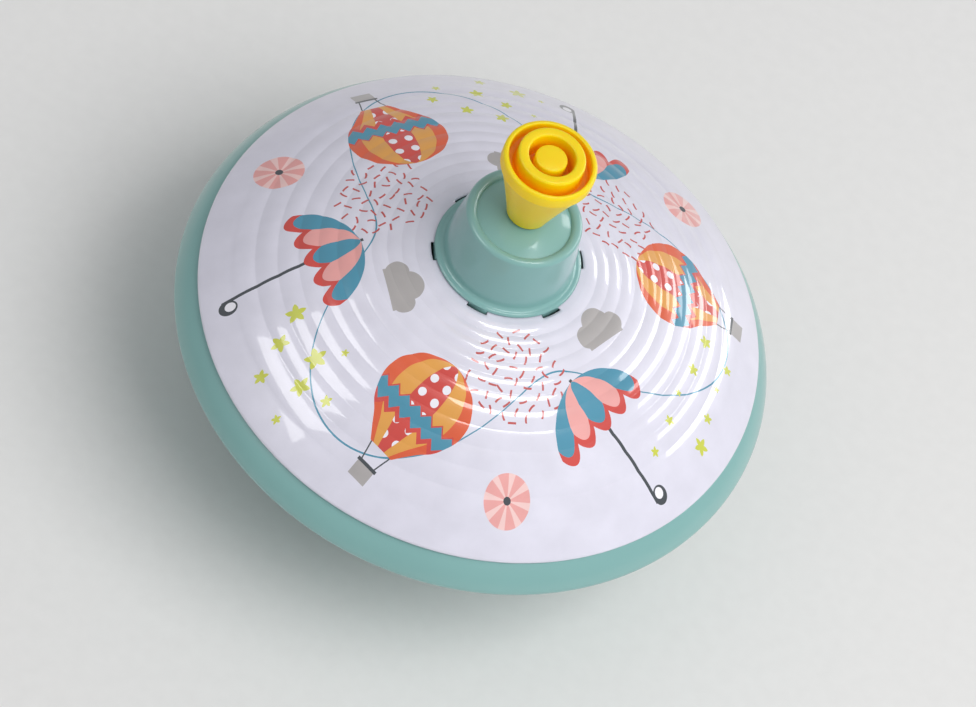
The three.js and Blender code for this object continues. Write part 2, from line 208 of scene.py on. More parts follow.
dome_outline = [(radius, dome_height(LAND_RADIUS)) for radius in (DOME_HOLE, *SLOT_RADII)]
for ripple in range(RIPPLES):
    dome_outline += [ripple_point(ripple + share) for share in BEAD_POINTS]
dome_outline.append(ripple_point(RIPPLES))
last_ripple = dome_outline[-1][0]
for step in range(1, BORDER_STEPS + 1):
    radius = last_ripple + (DOME_RADIUS - last_ripple) * step / BORDER_STEPS
    dome_outline.append((radius, dome_height(radius)))
dome_outline += arc(*HEM_CENTRE, HEM, 90 - math.degrees(RIM_SLOPE), -90, 12)[1:]
dome_outline.append((HEM_CENTRE[0] - HEM_RETURN, HEM_CENTRE[1] - HEM))
print("sphere of the dome:", round(DOME_CURVE, 1), "mm, outermost ripple at", round(last_ripple, 1))

# %% Spin the section, open the slots and give the dome its sheet thickness
TAB_COUNT = 6
TAB_STEP = 360 / TAB_COUNT
TAB_ANGLE = 26.0  # of the first tab, in degrees from +X
SLOT_HALF_ANGLE = 8.3
DOME_SIDES = 240


def in_slot(face):
    """Whether a face lies where one of the collar's tabs goes through the land."""
    middle = face.calc_center_median()
    bearing = math.degrees(math.atan2(middle.y, middle.x)) - TAB_ANGLE
    past_tab = (bearing + TAB_STEP / 2) % TAB_STEP - TAB_STEP / 2
    inner, outer = SLOT_RADII
    in_ring = inner < math.hypot(middle.x, middle.y) / MM < outer
    return in_ring and abs(past_tab) < SLOT_HALF_ANGLE


# The spin starts half a side before the first tab, so that each slot is even about its tab.
dome_mesh = turn(half_section(dome_outline), DOME_SIDES, TAB_ANGLE - 180 / DOME_SIDES)
slots = [face for face in dome_mesh.faces if in_slot(face)]
bmesh.ops.delete(dome_mesh, geom=slots, context="FACES")
dome_printed = as_piece("dome_printed", dome_mesh)
give_thickness(dome_printed)

# %% [markdown]
# ## The painted bowl
#
# The bowl swells from a flat ring round the foot to its widest ring, then turns in over a soft
# shoulder to a neck inside the dome's edge. A flange on that neck sits on the dome's rolled edge,
# inside. One pulled curve gives the whole swell and another the shoulder, which keeps both even,
# and a small bevel softens the widest ring between them.

# %% Draw the bowl's section and spin it
BOWL_WIDEST = (63.4, 35.0)
NECK = 57.54
SHOULDER, FLANGE = 40.68, 41.5  # heights

bowl_outline = [(5.2, 8.0), (13.0, 8.0)]
bowl_outline += pulled_curve((14.2, 9.0), (50.36, 13.94), BOWL_WIDEST, 34)
widest_index = len(bowl_outline) - 1
bowl_outline += pulled_curve(BOWL_WIDEST, (62.4, 38.5), (59.3, SHOULDER), 6)[1:]
bowl_outline += [(NECK, SHOULDER), (NECK, FLANGE), (58.3, FLANGE)]
bowl_mesh = turn(half_section(bowl_outline, [(1, 0.8), (widest_index, 0.7)]), 200)
bowl_painted = as_piece("bowl_painted", bowl_mesh)
give_thickness(bowl_painted)

# %% [markdown]
# ## The collar
#
# A drawn cap with a ridge round its top, a recess inside the ridge and a low crown up to the
# strip's hole. Its narrow flange sits on the dome, and six tabs fold down through the slots and
# back under. The tabs are a piece of their own, made of six short strips of sheet, because a spun
# section can't have them.

# %% Spin the collar's cap
STRIP_HOLE = 2.78  # radius of the hole in the collar and of the bore in the knob
CROWN_EDGE, CROWN_RISE, CROWN_WIDTH = 76.19, 1.75, 7.02
CROWN_POINTS = (0, 0.1, 0.25, 0.4, 0.55, 0.7, 0.85)  # from the hole to the crown's edge
RIDGE_CENTRE = (10.95, 76.2)
RIDGE_REACH = (1.15, 0.95)  # across and up
FLANGE_CURVE = (14.5, 64.34, 0.9)  # radius and height of its centre, and its own radius

collar_outline = [
    (STRIP_HOLE + CROWN_WIDTH * s, CROWN_EDGE + CROWN_RISE * (1 - s * s)) for s in CROWN_POINTS
]
collar_outline.append((9.8, 76.3))
collar_outline += [
    (RIDGE_CENTRE[0] + RIDGE_REACH[0] * x, RIDGE_CENTRE[1] + RIDGE_REACH[1] * y)
    for x, y in arc(0, 0, 1, 170, 0, 16)
]
collar_outline += [(12.3, 74.6), (12.95, 70.0), (13.42, 65.8)]
collar_outline += arc(*FLANGE_CURVE, 180, 270, 8)
collar_outline.append((15.3, 63.44))
collar_cap = as_piece("collar_cap", turn(half_section(collar_outline), 180))
give_thickness(collar_cap)

# %% Fold the collar's tabs
TAB_PATH = [(14.7, 63.24), (15.1, 63.24), (15.1, 61.0), (12.3, 61.0)]
TAB_FOLD = 0.35
TAB_WIDTH = 4.1
TAB_SHEET = 0.38


def collar_tab(mesh, bearing):
    """A strip from the flange's edge, down through its slot and back under the steel seat."""
    strip = half_section(TAB_PATH, [(1, TAB_FOLD), (2, TAB_FOLD)])
    bmesh.ops.translate(strip, verts=strip.verts, vec=(0, -TAB_WIDTH / 2 * MM, 0))
    grown = bmesh.ops.extrude_edge_only(strip, edges=strip.edges[:])["geom"]
    far_side = [item for item in grown if isinstance(item, bmesh.types.BMVert)]
    bmesh.ops.translate(strip, verts=far_side, vec=(0, TAB_WIDTH * MM, 0))
    bmesh.ops.recalc_face_normals(strip, faces=strip.faces)
    rotate(strip, strip.verts, math.radians(bearing))
    part = bpy.data.meshes.new("tab")
    strip.to_mesh(part)
    strip.free()
    mesh.from_mesh(part)
    bpy.data.meshes.remove(part)


tabs_mesh = bmesh.new()
for tab in range(TAB_COUNT):
    collar_tab(tabs_mesh, TAB_ANGLE + TAB_STEP * tab)
collar_tabs = as_piece("collar_tabs", tabs_mesh)
give_thickness(collar_tabs, TAB_SHEET, 0)

# %% [markdown]
# ## The knob
#
# One moulded piece: a horn that flares to a rolled lip, and in its end a deep ring groove, a
# raised ring, a second deeper groove and a slightly domed plug. A blind bore in the foot holds
# the steel strip. The whole of it, bore and grooves too, is one line from axis to axis, so that
# one spin gives a closed solid.

# %% Spin the knob from axis to axis
KNOB_FOOT = 78.34  # underside of the knob when it is home

knob_outline = [(0, 12.3), (STRIP_HOLE, 12.3), (STRIP_HOLE, 0), (4.4, 0)]
knob_outline += pulled_curve((4.4, 0.75), (6.6, 8.2), (9.3, 15.45), 16)
lip = len(knob_outline)
knob_outline += [(9.65, 15.8), (9.65, 18.8), (8.5, 18.8)]  # lip
knob_outline += [(8.5, 15.8), (6.9, 15.8)]  # first groove
knob_outline += [(6.9, 20.15), (4.8, 20.15)]  # raised ring
knob_outline += [(4.8, 14.55), (3.3, 14.55)]  # second groove
knob_outline += [(3.3, 19.3), (1.8, 19.48), (0, 19.55)]  # plug
lip_rounds = (0.15, 0.2, 0.7, 0.4, 0.5, 0.5, 0.5, 0.45, 0.4, 0.4, 0.35)
knob_rounds = [(2, 0.3), (3, 0.7), *enumerate(lip_rounds, lip - 1)]
knob_outline = [(radius, KNOB_FOOT + height) for radius, height in knob_outline]
knob_mesh = turn(half_section(knob_outline, knob_rounds), 144)
knob_moulded = as_piece("knob_moulded", knob_mesh, sharp_angle=50)

# %% [markdown]
# ## The foot and the tip
#
# Under the bowl a moulded peg of the knob's plastic carries a turned steel pin with a domed head.
# Both are solids of revolution, so they are spun like the knob.

# %% Spin the peg and the pin
TIP_FLAT = 0.5  # radius of the flat that the top spins on
PIN_HEAD, PIN_SHANK = 2.2, 1.1
HEAD_HEIGHT, PIN_HEIGHT = 1.5, 7.5
HEAD_ANGLES = (0.2, 0.45, 0.7, 0.95, 1.2, 1.4)

peg_outline = [(0, 7.8), (1.4, 7.8), (1.4, 1.8), (2.9, 1.8)]
peg_outline += pulled_curve((2.9, 1.8), (5.65, 3.6), (7.4, 6.4), 10)[1:]
shoulder = len(peg_outline) - 1
peg_outline += [(9.0, 6.4), (9.0, 7.7), (4.9, 7.7)]
peg_outline += [(4.9, 11.0), (4.5, 11.8), (4.5, 14.0), (4.9, 14.9), (4.9, 16.0), (0, 16.0)]
peg_rounds = [(3, 0.3), (shoulder, 0.4), (shoulder + 1, 0.4), (shoulder + 2, 0.3)]
peg_mesh = turn(half_section(peg_outline, peg_rounds), 96)
peg_moulded = as_piece("peg_moulded", peg_mesh, sharp_angle=50)

pin_outline = [(0, 0), (TIP_FLAT, 0)]
for angle in HEAD_ANGLES:
    radius = TIP_FLAT + (PIN_HEAD - TIP_FLAT) * math.sin(angle)
    pin_outline.append((radius, HEAD_HEIGHT - HEAD_HEIGHT * math.cos(angle)))
head_edge = len(pin_outline)
pin_outline += [(PIN_HEAD, HEAD_HEIGHT), (PIN_SHANK, HEAD_HEIGHT)]
pin_outline += [(PIN_SHANK, PIN_HEIGHT), (0, PIN_HEIGHT)]
pin_mesh = turn(half_section(pin_outline, [(head_edge, 0.1), (head_edge + 2, 0.2)]), 64)
pin_turned = as_piece("pin_turned", pin_mesh)

# %% [markdown]
# ## The twisted strip
#
# A flat steel strip is twisted once in every 26 mm. Slices of its section are extruded and turned
# a little at each step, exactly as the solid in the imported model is. A Simple Deform modifier
# would twist it too, but its factor depends on the length of the mesh, and the lead has to stay
# what the drive disc's slot follows.

# %% Extrude the strip step by step, with its neck and its peened head
LEAD = 26.0
STRIP_HALF_WIDTH, STRIP_HALF_THICKNESS, STRIP_CORNER = 2.4, 0.6, 0.25
STRIP_START = 20.9
STRIP_END = KNOB_FOOT + 12.0
STRIP_STEPS = 220


def twisted_strip():
    """The flat section turned to its starting angle, then extruded and turned step by step."""
    strip = bmesh.new()
    square = bmesh.ops.create_grid(strip, x_segments=1, y_segments=1, size=1)["verts"]
    section = (STRIP_HALF_WIDTH * MM, STRIP_HALF_THICKNESS * MM, 1)
    bmesh.ops.scale(strip, vec=section, verts=square)
    round_points(strip, square, STRIP_CORNER, 3)
    rotate(strip, strip.verts, math.tau * STRIP_START / LEAD)
    bmesh.ops.translate(strip, verts=strip.verts, vec=(0, 0, STRIP_START * MM))
    rise = (STRIP_END - STRIP_START) / STRIP_STEPS
    front = strip.faces[:]
    for step in range(STRIP_STEPS):
        grown = bmesh.ops.extrude_face_region(strip, geom=front, use_keep_orig=step == 0)["geom"]
        front = [item for item in grown if isinstance(item, bmesh.types.BMFace)]
        corners = [item for item in grown if isinstance(item, bmesh.types.BMVert)]
        bmesh.ops.translate(strip, verts=corners, vec=(0, 0, rise * MM))
        rotate(strip, corners, math.tau * rise / LEAD)
    bmesh.ops.recalc_face_normals(strip, faces=strip.faces)
    return as_piece("strip_twisted", strip, sharp_angle=40)


strip_twisted = twisted_strip()
neck_outline = [(0, 18.7), (2.2, 18.7), (2.2, 19.5), (1.1, 19.5), (1.1, 21.6), (0, 21.6)]
neck_mesh = turn(half_section(neck_outline, [(1, 0.3), (2, 0.2)]), 48)
strip_head = as_piece("strip_head", neck_mesh)

# %% [markdown]
# ## How the materials are built
#
# `add` puts one node in a material with its settings, and gives back one of its outputs, ready to
# be joined to the next node. `fill` joins a node's inputs to such outputs or sets their values.
# Colours are sRGB hex values, turned to linear by `linear`. The scale of a pattern counts its
# features per metre, so it is written as features per millimetre over `MM`.


# %% Helpers for materials
def linear(hex_colour):
    """A six-digit sRGB hex colour as linear red, green, blue and alpha."""
    channels = [int(hex_colour[i : i + 2], 16) / 255 for i in (0, 2, 4)]
    return [c / 12.92 if c <= 0.04045 else ((c + 0.055) / 1.055) ** 2.4 for c in channels] + [1.0]


def fill(node, inputs):
    """The node's inputs, by name or number, joined to other nodes' outputs or set to values."""
    for key, value in inputs.items():
        if isinstance(value, bpy.types.NodeSocket):
            node.id_data.links.new(value, node.inputs[key])
        else:
            node.inputs[key].default_value = value


def add(tree, kind, inputs=None, give=0, **settings):
    """One node with its inputs and properties. Gives one output by name or number, None for all."""
    node = tree.nodes.new("ShaderNode" + kind)
    for name, value in settings.items():
        setattr(node, name, value)
    fill(node, inputs or {})
    return node.outputs if give is None else node.outputs[give]


def new_material(name):
    """A node material, its tree, and the shader that Blender puts in it."""
    material = bpy.data.materials.new(name)
    material.use_nodes = True
    return material, material.node_tree, material.node_tree.nodes["Principled BSDF"]


def dress(piece, material):
    """The piece in one material."""
    piece.data.materials.clear()
    piece.data.materials.append(material)
    print(piece.name, "wears", material.name)


# %% [markdown]
# ## Mint stove enamel
#
# Tinplate sprayed and baked. The eye sees a soft grey green, an even gloss with very slight
# waviness from the sheet under it, and faint specks in the gloss. A clear coat over a duller
# base gives both at once.


# %% Mix the enamel
def stove_enamel():
    """Cloudy paint, its clouds 25 mm apart, with specks 0.56 mm apart."""
    material, tree, shader = new_material("stove_enamel_mint")
    place = add(tree, "TexCoord", give="Object")
    clouds = add(tree, "TexNoise", {"Vector": place, "Scale": 0.04 / MM, "Detail": 3.0})
    specks = add(tree, "TexNoise", {"Vector": place, "Scale": 1.8 / MM, "Detail": 1.0})
    tones = {0: clouds, 6: linear("85b6b2"), 7: linear("7daca9")}
    gloss = {"Value": specks, "To Min": 0.26, "To Max": 0.34}
    waves = {"Height": clouds, "Strength": 0.12, "Distance": 0.4 * MM}
    finish = {
        "Base Color": add(tree, "Mix", tones, 2, data_type="RGBA"),
        "Roughness": add(tree, "MapRange", gloss),
        "Normal": add(tree, "Bump", waves),
        "Coat Weight": 0.6,
        "Coat Roughness": 0.08,
    }
    fill(shader, finish)
    return material


enamel = stove_enamel()
for painted in (bowl_painted, collar_cap, collar_tabs):
    dress(painted, enamel)

# %% [markdown]
# ## Yellow moulded plastic
#
# Injection-moulded, slightly see-through polypropylene. Light that enters comes out warmer, so
# the deep grooves in the end look orange beside the yellow faces. Subsurface light gives part of
# that, and a painted shade, an orange tone laid into the depth of the grooves, gives the rest.

# %% Mix the plastic
# Where the painted orange shade goes: inside a cone in the knob's end, fading in from GROOVE_TOP
# down to GROOVE_DEEP.
CONE_POINT = 6.9  # above the knob's foot, of an upright 45-degree cone that holds the grooves
GROOVE_REACH = 8.7  # radius just past the outer groove's wall
GROOVE_TOP, GROOVE_DEEP = 19.0, 16.2  # above the foot, where the orange starts and is full


def moulded_plastic():
    """Yellow, with a painted orange shade in the deep grooves and a moulded grain 1.1 mm apart."""
    material, tree, shader = new_material("moulded_plastic_yellow")
    place = add(tree, "TexCoord", give="Object")
    x, y, z = add(tree, "SeparateXYZ", {"Vector": place}, None)
    x_squared = add(tree, "Math", {0: x, 1: x}, operation="MULTIPLY")
    radius_squared = add(tree, "Math", {0: y, 1: y, 2: x_squared}, operation="MULTIPLY_ADD")
    radius = add(tree, "Math", {0: radius_squared}, operation="SQRT")
    cone = add(tree, "Math", {0: z, 1: -(KNOB_FOOT + CONE_POINT) * MM}, operation="ADD")
    wall = add(tree, "Math", {0: cone, 1: GROOVE_REACH * MM}, operation="MINIMUM")
    inside = add(tree, "Math", {0: radius, 1: wall}, operation="LESS_THAN")
    top, deepest = (KNOB_FOOT + GROOVE_TOP) * MM, (KNOB_FOOT + GROOVE_DEEP) * MM
    depth = add(tree, "MapRange", {"Value": z, 1: top, 2: deepest})
    painted_groove_shade = add(tree, "Math", {0: inside, 1: depth}, operation="MULTIPLY")
    grain = add(tree, "TexNoise", {"Vector": place, "Scale": 0.9 / MM, "Detail": 2.0})
    # Painted shade: the yellow turns orange in the deep grooves, in place of light that scatters
    # warmer there.
    tones = {0: painted_groove_shade, 6: linear("ffd700"), 7: linear("ffae00")}
    gloss = {"Value": grain, "To Min": 0.3, "To Max": 0.4}
    skin = {"Height": grain, "Strength": 0.08, "Distance": 0.1 * MM}
    finish = {
        "Base Color": add(tree, "Mix", tones, 2, data_type="RGBA"),
        "Roughness": add(tree, "MapRange", gloss),
        "Normal": add(tree, "Bump", skin),
        "IOR": 1.49,
        "Subsurface Weight": 0.6,
        "Subsurface Radius": (4.0 * MM, 2.2 * MM, 0.4 * MM),
        "Subsurface Scale": 1.0,
    }
    fill(shader, finish)
    return material


plastic = moulded_plastic()
dress(knob_moulded, plastic)
dress(peg_moulded, plastic)

# %% [markdown]
# ## Steel
#
# The strip is cold-rolled and lightly drawn along its length, the turned pin shows rings from the
# lathe, and the pressed inner pieces are plain rolled sheet. One noise, stretched along the way
# the tool ran, marks all three, so the strip glints in long lines and the pin in rings.


# %% Mix the steels
def worked_steel(name, hex_colour, marks_per_mm, roughness):
    """Bare steel, with so many fine marks in a millimetre along x, y and z."""
    material, tree, shader = new_material(name)
    place = add(tree, "TexCoord", give="Object")
    scale = [count / MM for count in marks_per_mm]
    stretched = add(tree, "Mapping", {"Vector": place, "Scale": scale})
    marks = add(tree, "TexNoise", {"Vector": stretched, "Scale": 1.0, "Detail": 4.0})
    tones = {0: marks, 6: linear(hex_colour), 7: linear("8f9296")}
    gloss = {"Value": marks, "To Min": roughness[0], "To Max": roughness[1]}
    scratches = {"Height": marks, "Strength": 0.15, "Distance": 0.05 * MM}
    finish = {
        "Base Color": add(tree, "Mix", tones, 2, data_type="RGBA"),
        "Roughness": add(tree, "MapRange", gloss),
        "Normal": add(tree, "Bump", scratches),
        "Metallic": 1.0,
    }
    fill(shader, finish)
    return material


drawn_steel = worked_steel("drawn_steel", "c8cacc", (2.5, 2.5, 0.09), (0.2, 0.34))
turned_steel = worked_steel("turned_steel", "cfd1d3", (0.3, 0.3, 4.0), (0.12, 0.24))
rolled_steel = worked_steel("rolled_steel", "bfc2c4", (0.15, 2.6, 2.6), (0.28, 0.42))
dress(strip_twisted, drawn_steel)
dress(strip_head, turned_steel)
dress(pin_turned, turned_steel)
for inner in ("clutch_seat", "guide_tube", "foot_plate", "drive_disc", "stop_washer"):
    dress(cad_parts[inner], rolled_steel)

# %% [markdown]
# ## Printed tin
#
# White lacquer, flat inks and a thick gloss varnish over both. The eye sees even colours under
# sharp bright arcs. The print is a toy maker's stock design: balloons, parasols, clouds, sliced
# discs and stars, set three times round the dome, with sprinkled dashes and a thin wandering
# line. Every shape is worked out from simple sums on the place, seen from above and in
# millimetres, so it stays sharp at any distance. The helpers give a mask, which is one inside the
# shape and zero outside it.

# %% Mix the inks
INK = {
    "orange": linear("df5a2e"),
    "amber": linear("e5a145"),
    "red": linear("d1433a"),
    "white": linear("f3f1f8"),
    "teal": linear("4590ab"),
    "grey": linear("aca7a6"),
    "charcoal": linear("3d4349"),
    "pink": linear("eca5a1"),
    "pale_pink": linear("f5cdc9"),
    "lime": linear("ccd144"),
    "brick": linear("c14f4c"),
}
print("inks:", ", ".join(INK))


# %% Simple shapes of the print
def own_frame(tree, place, radius, bearing, tilt=0.0):
    """A motif's own place: x away from the spin axis, y round the dome, zero at its middle."""
    turned_back, tilted = (0, 0, math.radians(-bearing)), (0, 0, math.radians(tilt))
    sector = add(tree, "Mapping", {"Vector": place, "Rotation": turned_back})
    centred = add(tree, "VectorMath", {0: sector, 1: (radius, 0, 0)}, operation="SUBTRACT")
    return add(tree, "Mapping", {"Vector": centred, "Rotation": tilted})


def disc(tree, place, centre, radius):
    """A filled circle."""
    ends = {0: place, 1: (*centre, 0)}
    apart = add(tree, "VectorMath", ends, "Value", operation="DISTANCE")
    return add(tree, "Math", {0: apart, 1: radius}, operation="LESS_THAN")


def bar(tree, place, centre, length, width, tilt=0.0):
    """A straight bar that runs along x before it is tilted."""
    moved = add(tree, "VectorMath", {0: place, 1: (*centre, 0)}, operation="SUBTRACT")
    laid = add(tree, "Mapping", {"Vector": moved, "Rotation": (0, 0, math.radians(-tilt))})
    folded = add(tree, "VectorMath", {0: laid}, operation="ABSOLUTE")
    reach = {0: folded, 1: (length / 2, width / 2, 0)}
    past = add(tree, "VectorMath", reach, operation="SUBTRACT")
    x, y, _ = add(tree, "SeparateXYZ", {"Vector": past}, None)
    furthest = add(tree, "Math", {0: x, 1: y}, operation="MAXIMUM")
    return add(tree, "Math", {0: furthest, 1: 0.0}, operation="LESS_THAN")


def silhouette(tree, place, start, end, half_width, curve):
    """A shape even about x, with how far a place is across it, -1 to 1, and along it, 0 to 1."""
    x, y, _ = add(tree, "SeparateXYZ", {"Vector": place}, None)
    along = add(tree, "MapRange", {"Value": x, 1: start, 2: end}, clamp=False)
    profile = add(tree, "FloatCurve", {"Value": along})
    mapping = profile.node.mapping
    line = mapping.curves[0]
    for share_along, share_wide in curve[1:-1]:
        line.points.new(share_along, share_wide)
    line.points[0].location = curve[0]
    line.points[-1].location = curve[-1]
    mapping.update()
    half = add(tree, "Math", {0: profile, 1: half_width}, operation="MULTIPLY")
    across = add(tree, "Math", {0: y, 1: half}, operation="DIVIDE")
    apart = add(tree, "Math", {0: across}, operation="ABSOLUTE")
    in_width = add(tree, "Math", {0: apart, 1: 1.0}, operation="LESS_THAN")
    in_length = add(tree, "Math", {0: along, 1: 0.5, 2: 0.5}, operation="COMPARE")
    mask = add(tree, "Math", {0: in_width, 1: in_length}, operation="MULTIPLY")
    return mask, across, along


def polka(tree, place, spacing, radius):
    """Dots in rows."""
    cells = add(tree, "VectorMath", {0: place, 3: 1 / spacing}, operation="SCALE")
    inside = add(tree, "VectorMath", {0: cells}, operation="FRACTION")
    return disc(tree, inside, (0.5, 0.5), radius / spacing)


def zigzag(tree, place, middle, width, tooth):
    """A toothed band across x."""
    x, y, _ = add(tree, "SeparateXYZ", {"Vector": place}, None)
    teeth = add(tree, "Math", {0: y, 1: tooth}, operation="PINGPONG")
    wave = add(tree, "Math", {0: x, 1: teeth}, operation="SUBTRACT")
    return add(tree, "Math", {0: wave, 1: middle, 2: width / 2}, operation="COMPARE")


def polar(tree, place):
    """Distance and bearing of a place from the middle of its frame."""
    x, y, _ = add(tree, "SeparateXYZ", {"Vector": place}, None)
    distance = add(tree, "VectorMath", {0: place}, "Value", operation="LENGTH")
    return distance, add(tree, "Math", {0: y, 1: x}, operation="ARCTAN2")


def overprint(tree, below, layers):
    """The print below with flat inks laid over it in turn, each where its mask is one."""
    for mask, colour in layers:
        below = add(tree, "Mix", {0: mask, 6: below, 7: colour}, 2, data_type="RGBA")
    return below


# %% [markdown]
# The motifs. Each takes the print made so far and gives it back with the motif laid over it.


# %% Draw the motifs
ROPES = ((-2.1, 14), (2.1, -14))  # place across the basket, and tilt in degrees
PANELS = 5  # of the parasol
SCALLOP, TRIM = 0.9, 0.84  # how much a panel's hem curves, and where its red trim starts
SLICES = 8
DISC_RADIUS = 4.8


def balloon(tree, print_below, place):
    """A striped hot-air balloon, its crown towards the collar, with a bag 20 mm long and wide."""
    curve = [(0, 0), (0.05, 0.42), (0.18, 0.8), (0.4, 1), (0.62, 0.9), (0.82, 0.58), (1, 0.28)]
    bag, across, _ = silhouette(tree, place, -13.0, 7.5, 10.2, curve)
    side = add(tree, "Math", {0: across}, operation="ABSOLUTE")
    inner = add(tree, "Math", {0: side, 1: 0.72}, operation="LESS_THAN")
    middle = add(tree, "Math", {0: side, 1: 0.3}, operation="LESS_THAN")
    dotted = {0: polka(tree, place, 3.4, 0.85), 1: middle}
    bands = [
        (inner, INK["amber"]),
        (middle, INK["red"]),
        (add(tree, "Math", dotted, operation="MULTIPLY"), INK["white"]),
        (zigzag(tree, place, -1.2, 4.4, 1.5), INK["red"]),
        (zigzag(tree, place, -1.6, 2.8, 1.5), INK["teal"]),
    ]
    ropes = [bar(tree, place, (9.2, y), 4.2, 0.28, tilt) for y, tilt in ROPES]
    basket = bar(tree, place, (12.4, 0), 3.0, 4.2)
    basket_rim = bar(tree, place, (11.0, 0), 0.6, 4.8)
    layers = [
        *((rope, INK["charcoal"]) for rope in ropes),
        (basket, INK["grey"]),
        (basket_rim, INK["charcoal"]),
        (bag, overprint(tree, INK["orange"], bands)),
    ]
    return overprint(tree, print_below, layers)


def parasol(tree, print_below, place):
    """A scalloped parasol on a stick 28 mm long, its point towards the collar."""
    curve = [(0, 0), (0.08, 0.36), (0.25, 0.64), (0.5, 0.86), (0.78, 0.98), (1, 1)]
    canopy, across, along = silhouette(tree, place, -11.0, 0.5, 12.5, curve)
    panel = add(tree, "Math", {0: across, 1: PANELS / 2, 2: 0.5}, operation="MULTIPLY_ADD")
    in_panel = add(tree, "Math", {0: panel}, operation="FRACT")
    from_middle = add(tree, "Math", {0: in_panel, 1: 0.5}, operation="SUBTRACT")
    squared = add(tree, "Math", {0: from_middle, 1: from_middle}, operation="MULTIPLY")
    hem = add(tree, "Math", {0: squared, 1: SCALLOP, 2: along}, operation="MULTIPLY_ADD")
    above_hem = add(tree, "Math", {0: hem, 1: 1.0}, operation="LESS_THAN")
    number = add(tree, "Math", {0: panel}, operation="FLOOR")
    from_centre = add(tree, "Math", {0: number}, operation="ABSOLUTE")
    second_panels = add(tree, "Math", {0: from_centre, 1: 1.0, 2: 0.4}, operation="COMPARE")
    trim = add(tree, "Math", {0: hem, 1: TRIM}, operation="GREATER_THAN")
    panels = overprint(tree, INK["teal"], [(second_panels, INK["pink"]), (trim, INK["red"])])
    cloth = add(tree, "Math", {0: canopy, 1: above_hem}, operation="MULTIPLY")
    stick = bar(tree, place, (2.5, 0), 28.0, 0.7)
    crook = disc(tree, place, (15.8, 1.4), 1.7)
    crook_hole = disc(tree, place, (15.4, 1.4), 1.0)
    layers = [
        (stick, INK["charcoal"]),
        (crook, INK["charcoal"]),
        (crook_hole, INK["white"]),
        (cloth, panels),
    ]
    return overprint(tree, print_below, layers)


def sliced_disc(tree, print_below, place):
    """A pink disc with pale slices and a dark middle."""
    _, bearing = polar(tree, place)
    slices = add(tree, "Math", {0: bearing, 1: SLICES / math.tau}, operation="MULTIPLY")
    in_slice = add(tree, "Math", {0: slices}, operation="FRACT")
    pale = add(tree, "Math", {0: in_slice, 1: 0.62}, operation="GREATER_THAN")
    middle = disc(tree, place, (0, 0), DISC_RADIUS * 0.16)
    faces = overprint(tree, INK["pink"], [(pale, INK["pale_pink"]), (middle, INK["charcoal"])])
    return overprint(tree, print_below, [(disc(tree, place, (0, 0), DISC_RADIUS), faces)])


def cloud(tree, print_below, place):
    """Three puffs on a flat base."""
    layers = [
        (disc(tree, place, (-0.6, -3.4), 2.4), INK["grey"]),
        (disc(tree, place, (-1.9, 0.2), 3.3), INK["grey"]),
        (disc(tree, place, (-0.4, 3.7), 2.2), INK["grey"]),
        (bar(tree, place, (1.1, 0.1), 1.9, 9.6), INK["grey"]),
    ]
    return overprint(tree, print_below, layers)


# %% [markdown]
# The small shapes. A loose grid of cells holds one dash or one star each, and rounded patches
# round the dome choose the cells that are printed.

# %% Scatter the small shapes
LOOSENESS = 0.36  # how far a cell's middle may stray
DASH_SPACING, DASH_HALF_LENGTH, DASH_HALF_WIDTH = 2.4, 0.85, 0.2
STAR_SPACING, STAR_SIZES = 7.2, (0.7, 2.3)
STAR_POINTS, STAR_WAIST = 5, 0.44  # the waist is a share of the reach of a point


def scattered(tree, place, spacing):
    """Loose cells: each one's middle, the place within it, and two chance numbers for it."""
    placing = {"Vector": place, "Scale": 1 / spacing, "Randomness": LOOSENESS}
    cells = add(tree, "TexVoronoi", placing, None, voronoi_dimensions="2D")
    middle = cells["Position"]
    within = add(tree, "VectorMath", {0: place, 1: middle}, operation="SUBTRACT")
    first, second, _ = add(tree, "SeparateColor", {"Color": cells["Color"]}, None)
    return middle, within, first, second


def patch(tree, place, middle_radius, reach, first_bearing, edge):
    """Three rounded patches round the dome, at a radius and a bearing in degrees."""
    radius, bearing = polar(tree, place)
    to_first = {0: bearing, 1: 3.0, 2: -3 * math.radians(first_bearing)}
    phase = add(tree, "Math", to_first, operation="MULTIPLY_ADD")
    round_share = add(tree, "Math", {0: phase}, operation="COSINE")
    limits = {"Value": radius, 1: middle_radius, 2: middle_radius + reach}
    off = add(tree, "MapRange", limits, clamp=False)
    off_squared = add(tree, "Math", {0: off, 1: off}, operation="MULTIPLY")
    level = add(tree, "Math", {0: round_share, 1: off_squared}, operation="SUBTRACT")
    return add(tree, "Math", {0: level, 1: edge}, operation="GREATER_THAN")


def sprinkles(tree, place):
    """Short curved dashes in patches near the collar, each turned its own way."""
    middle, within, first, second = scattered(tree, place, DASH_SPACING)
    angle = add(tree, "Math", {0: first, 1: math.tau}, operation="MULTIPLY")
    turning = {"Vector": within, "Angle": angle}
    dash = add(tree, "VectorRotate", turning, rotation_type="Z_AXIS")
    x, y, _ = add(tree, "SeparateXYZ", {"Vector": dash}, None)
    squared = add(tree, "Math", {0: x, 1: x}, operation="MULTIPLY")
    bend = add(tree, "MapRange", {"Value": second, "To Min": -0.3, "To Max": 0.3})
    bowed = add(tree, "Math", {0: squared, 1: bend, 2: y}, operation="MULTIPLY_ADD")
    thin = add(tree, "Math", {0: bowed, 1: 0.0, 2: DASH_HALF_WIDTH}, operation="COMPARE")
    short = add(tree, "Math", {0: x, 1: 0.0, 2: DASH_HALF_LENGTH}, operation="COMPARE")
    drawn = add(tree, "Math", {0: thin, 1: short}, operation="MULTIPLY")
    chosen = patch(tree, middle, middle_radius=27.5, reach=12.5, first_bearing=54.0, edge=0.4)
    return add(tree, "Math", {0: drawn, 1: chosen}, operation="MULTIPLY")


